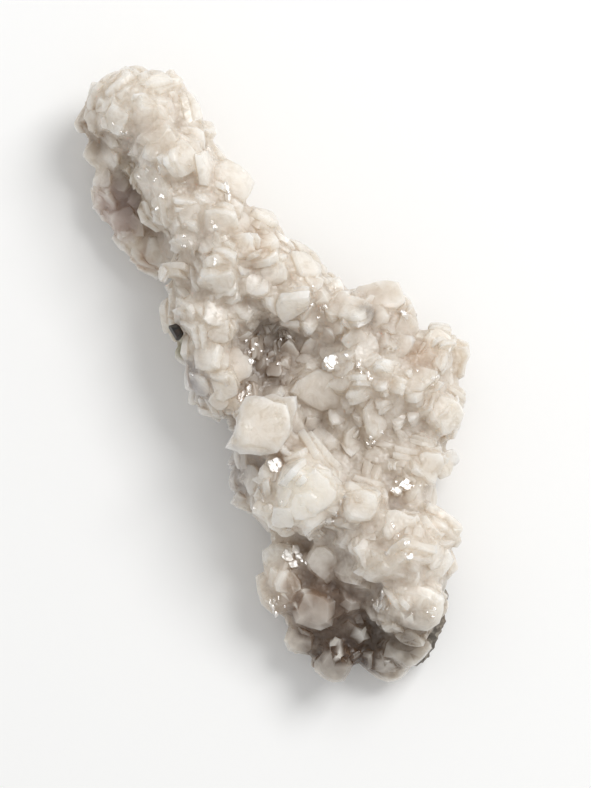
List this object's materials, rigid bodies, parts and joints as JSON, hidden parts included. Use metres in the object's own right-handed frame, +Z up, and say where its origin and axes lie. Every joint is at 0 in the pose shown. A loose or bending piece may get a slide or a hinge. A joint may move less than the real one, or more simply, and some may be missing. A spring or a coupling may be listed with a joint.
{
  "type": "dolomite specimen",
  "caption": "Hand-sized group of white saddle dolomite crystals with a long arm, lying on its back on a remnant of grey rock.",
  "frame": {"origin": "middle of the specimen's footprint, on the surface that it rests on", "axes": "+Z up, away from the surface it lies on, out of the crystal-covered face; +Y up the specimen, from the broad foot towards the narrow arm; +X to the right, seen from above"},
  "size_m": [0.0622, 0.0976, 0.0245],
  "materials": {
    "dolomite": "milky white, translucent, pearly crystal faces",
    "rock": "dull grey, finely granular broken stone",
    "sphalerite": "black, resinous lustre"
  },
  "bodies": {
    "root": {"dolomite_cluster": "dolomite", "host_rock": "rock", "sphalerite_crystal": "sphalerite"}
  },
  "joints": []
}
